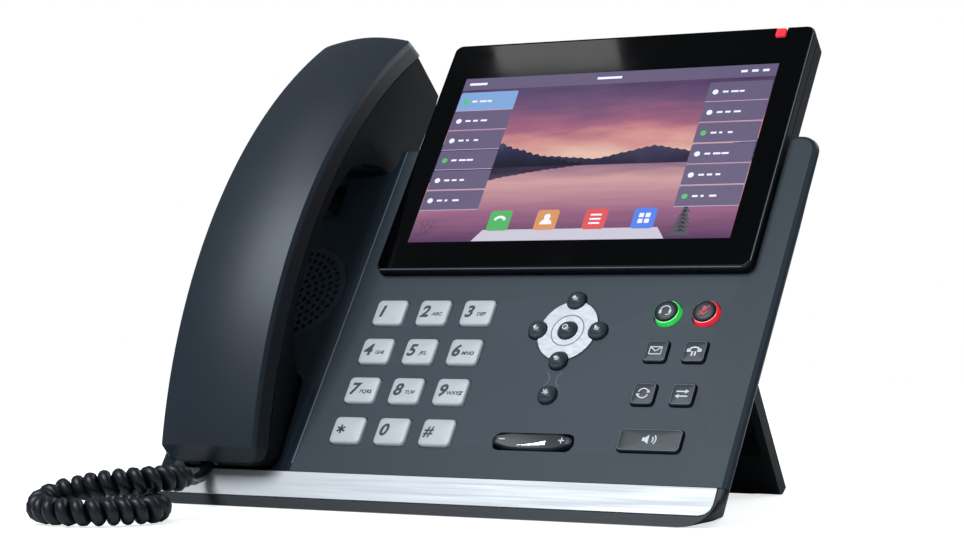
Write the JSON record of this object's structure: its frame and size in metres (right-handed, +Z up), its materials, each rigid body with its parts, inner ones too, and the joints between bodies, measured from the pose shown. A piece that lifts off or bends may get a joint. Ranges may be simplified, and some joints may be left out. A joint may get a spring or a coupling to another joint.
{
  "type": "desk ip phone",
  "caption": "Corded desk telephone with a sloping key panel, a raised touch screen, a lift-off handset on a curly cord and a folding rear stand.",
  "frame": {"origin": "centre of the footprint of the telephone without its cord, on the table surface", "axes": "+X to the user's right along the front edge, +Y away from the user, +Z up"},
  "size_m": [0.2837, 0.2933, 0.2087],
  "materials": {
    "shell": "fine satin moulded plastic, slate grey-blue",
    "dark_shell": "fine matt moulded plastic, near black",
    "handset_shell": "smooth satin moulded plastic",
    "brushed_metal": "long brushed satin",
    "silver_plate": "satin silver paint",
    "dial_key": "satin silver grey with dark digits",
    "dark_key": "satin dark grey with pale icons",
    "cover_glass": "black glass behind a clear window",
    "screen": "lit colour screen",
    "green_light": "lit translucent green",
    "red_light": "lit translucent red",
    "rubber_pad": "matt black rubber",
    "cord": "satin flexible sheath",
    "clear_plug": "pale translucent plastic",
    "circuit_board": "green solder mask",
    "silicone": "matt silicone",
    "steel_part": "drawn steel"
  },
  "bodies": {
    "root": {"front_cover": "shell", "bottom_bar": "dark_shell", "metal_strip": "brushed_metal", "rear_cover": "dark_shell", "port_block": "dark_shell", "handset_jacks": "dark_shell", "display_bezel": "dark_shell", "display_rear_cover": "dark_shell", "cover_glass": "cover_glass", "lcd_panel": "screen", "message_light": "red_light", "nav_plate": "silver_plate", "headset_light": "green_light", "mute_light": "red_light", "speaker_grille": "dark_shell", "loudspeaker": "steel_part", "keypad_membrane": "silicone", "keypad_board": "circuit_board", "main_board": "circuit_board", "base_pad_left": "rubber_pad", "base_pad_right": "rubber_pad", "base_plug": "clear_plug", "handset_cord": "cord"},
    "handset": {"handset_outer_shell": "handset_shell", "handset_inner_shell": "dark_shell", "earpiece_capsule": "steel_part", "handset_microphone": "steel_part", "handset_plug": "clear_plug"},
    "stand": {"stand": "dark_shell", "stand_pad_left": "rubber_pad", "stand_pad_right": "rubber_pad"},
    "hook_switch": {"hook_switch": "dark_key"},
    "hang_tab": {"hang_tab": "dark_shell"},
    "volume_rocker": {"volume_rocker": "dark_key"},
    "dial_key_1": {"dial_key_1": "dial_key"},
    "dial_key_2": {"dial_key_2": "dial_key"},
    "dial_key_3": {"dial_key_3": "dial_key"},
    "dial_key_4": {"dial_key_4": "dial_key"},
    "dial_key_5": {"dial_key_5": "dial_key"},
    "dial_key_6": {"dial_key_6": "dial_key"},
    "dial_key_7": {"dial_key_7": "dial_key"},
    "dial_key_8": {"dial_key_8": "dial_key"},
    "dial_key_9": {"dial_key_9": "dial_key"},
    "dial_key_star": {"dial_key_star": "dial_key"},
    "dial_key_0": {"dial_key_0": "dial_key"},
    "dial_key_hash": {"dial_key_hash": "dial_key"},
    "nav_up_key": {"nav_up_key": "dark_key"},
    "nav_down_key": {"nav_down_key": "dark_key"},
    "nav_left_key": {"nav_left_key": "dark_key"},
    "nav_right_key": {"nav_right_key": "dark_key"},
    "ok_key": {"ok_key": "dark_key"},
    "cancel_key": {"cancel_key": "dark_key"},
    "message_key": {"message_key": "dark_key"},
    "hold_key": {"hold_key": "dark_key"},
    "redial_key": {"redial_key": "dark_key"},
    "transfer_key": {"transfer_key": "dark_key"},
    "speaker_key": {"speaker_key": "dark_key"},
    "headset_key": {"headset_key": "dark_key"},
    "mute_key": {"mute_key": "dark_key"}
  },
  "joints": [
    {"name": "handset_lift", "type": "slide", "parent": "root", "child": "handset", "axis": [0, -0.8221, 0.5693], "range_m": [0, 0.09]},
    {"name": "hook_switch_rise", "type": "slide", "parent": "root", "child": "hook_switch", "axis": [0, -0.8221, 0.5693], "range_m": [0, 0.003]},
    {"name": "stand_fold", "type": "hinge", "parent": "root", "child": "stand", "pos_m": [0, 0.02961, 0.08698], "axis": [1, 0, 0], "range_deg": [-66, 0]},
    {"name": "hang_tab_slide", "type": "slide", "parent": "root", "child": "hang_tab", "axis": [0, 0.5693, 0.8221], "range_m": [0, 0.005]},
    {"name": "volume_rock", "type": "hinge", "parent": "root", "child": "volume_rocker", "pos_m": [0.0444, -0.0651, 0.02838], "axis": [0, 0.5693, 0.8221], "range_deg": [-2, 2], "stiffness_Nm_per_rad": 0.5},
    {"name": "dial_key_1_press", "type": "slide", "parent": "root", "child": "dial_key_1", "axis": [0, 0.8221, -0.5693], "range_m": [0, 0.0012], "stiffness_N_per_m": 500},
    {"name": "dial_key_2_press", "type": "slide", "parent": "root", "child": "dial_key_2", "axis": [0, 0.8221, -0.5693], "range_m": [0, 0.0012], "stiffness_N_per_m": 500},
    {"name": "dial_key_3_press", "type": "slide", "parent": "root", "child": "dial_key_3", "axis": [0, 0.8221, -0.5693], "range_m": [0, 0.0012], "stiffness_N_per_m": 500},
    {"name": "dial_key_4_press", "type": "slide", "parent": "root", "child": "dial_key_4", "axis": [0, 0.8221, -0.5693], "range_m": [0, 0.0012], "stiffness_N_per_m": 500},
    {"name": "dial_key_5_press", "type": "slide", "parent": "root", "child": "dial_key_5", "axis": [0, 0.8221, -0.5693], "range_m": [0, 0.0012], "stiffness_N_per_m": 500},
    {"name": "dial_key_6_press", "type": "slide", "parent": "root", "child": "dial_key_6", "axis": [0, 0.8221, -0.5693], "range_m": [0, 0.0012], "stiffness_N_per_m": 500},
    {"name": "dial_key_7_press", "type": "slide", "parent": "root", "child": "dial_key_7", "axis": [0, 0.8221, -0.5693], "range_m": [0, 0.0012], "stiffness_N_per_m": 500},
    {"name": "dial_key_8_press", "type": "slide", "parent": "root", "child": "dial_key_8", "axis": [0, 0.8221, -0.5693], "range_m": [0, 0.0012], "stiffness_N_per_m": 500},
    {"name": "dial_key_9_press", "type": "slide", "parent": "root", "child": "dial_key_9", "axis": [0, 0.8221, -0.5693], "range_m": [0, 0.0012], "stiffness_N_per_m": 500},
    {"name": "dial_key_star_press", "type": "slide", "parent": "root", "child": "dial_key_star", "axis": [0, 0.8221, -0.5693], "range_m": [0, 0.0012], "stiffness_N_per_m": 500},
    {"name": "dial_key_0_press", "type": "slide", "parent": "root", "child": "dial_key_0", "axis": [0, 0.8221, -0.5693], "range_m": [0, 0.0012], "stiffness_N_per_m": 500},
    {"name": "dial_key_hash_press", "type": "slide", "parent": "root", "child": "dial_key_hash", "axis": [0, 0.8221, -0.5693], "range_m": [0, 0.0012], "stiffness_N_per_m": 500},
    {"name": "nav_up_key_press", "type": "slide", "parent": "root", "child": "nav_up_key", "axis": [0, 0.8221, -0.5693], "range_m": [0, 0.0012], "stiffness_N_per_m": 500},
    {"name": "nav_down_key_press", "type": "slide", "parent": "root", "child": "nav_down_key", "axis": [0, 0.8221, -0.5693], "range_m": [0, 0.0012], "stiffness_N_per_m": 500},
    {"name": "nav_left_key_press", "type": "slide", "parent": "root", "child": "nav_left_key", "axis": [0, 0.8221, -0.5693], "range_m": [0, 0.0012], "stiffness_N_per_m": 500},
    {"name": "nav_right_key_press", "type": "slide", "parent": "root", "child": "nav_right_key", "axis": [0, 0.8221, -0.5693], "range_m": [0, 0.0012], "stiffness_N_per_m": 500},
    {"name": "ok_key_press", "type": "slide", "parent": "root", "child": "ok_key", "axis": [0, 0.8221, -0.5693], "range_m": [0, 0.0012], "stiffness_N_per_m": 500},
    {"name": "cancel_key_press", "type": "slide", "parent": "root", "child": "cancel_key", "axis": [0, 0.8221, -0.5693], "range_m": [0, 0.0012], "stiffness_N_per_m": 500},
    {"name": "message_key_press", "type": "slide", "parent": "root", "child": "message_key", "axis": [0, 0.8221, -0.5693], "range_m": [0, 0.0012], "stiffness_N_per_m": 500},
    {"name": "hold_key_press", "type": "slide", "parent": "root", "child": "hold_key", "axis": [0, 0.8221, -0.5693], "range_m": [0, 0.0012], "stiffness_N_per_m": 500},
    {"name": "redial_key_press", "type": "slide", "parent": "root", "child": "redial_key", "axis": [0, 0.8221, -0.5693], "range_m": [0, 0.0012], "stiffness_N_per_m": 500},
    {"name": "transfer_key_press", "type": "slide", "parent": "root", "child": "transfer_key", "axis": [0, 0.8221, -0.5693], "range_m": [0, 0.0012], "stiffness_N_per_m": 500},
    {"name": "speaker_key_press", "type": "slide", "parent": "root", "child": "speaker_key", "axis": [0, 0.8221, -0.5693], "range_m": [0, 0.0012], "stiffness_N_per_m": 500},
    {"name": "headset_key_press", "type": "slide", "parent": "root", "child": "headset_key", "axis": [0, 0.8221, -0.5693], "range_m": [0, 0.0012], "stiffness_N_per_m": 500},
    {"name": "mute_key_press", "type": "slide", "parent": "root", "child": "mute_key", "axis": [0, 0.8221, -0.5693], "range_m": [0, 0.0012], "stiffness_N_per_m": 500}
  ],
  "couplings": [
    {"joint": "hook_switch_rise", "follows": "handset_lift", "ratio": 0.0333}
  ]
}
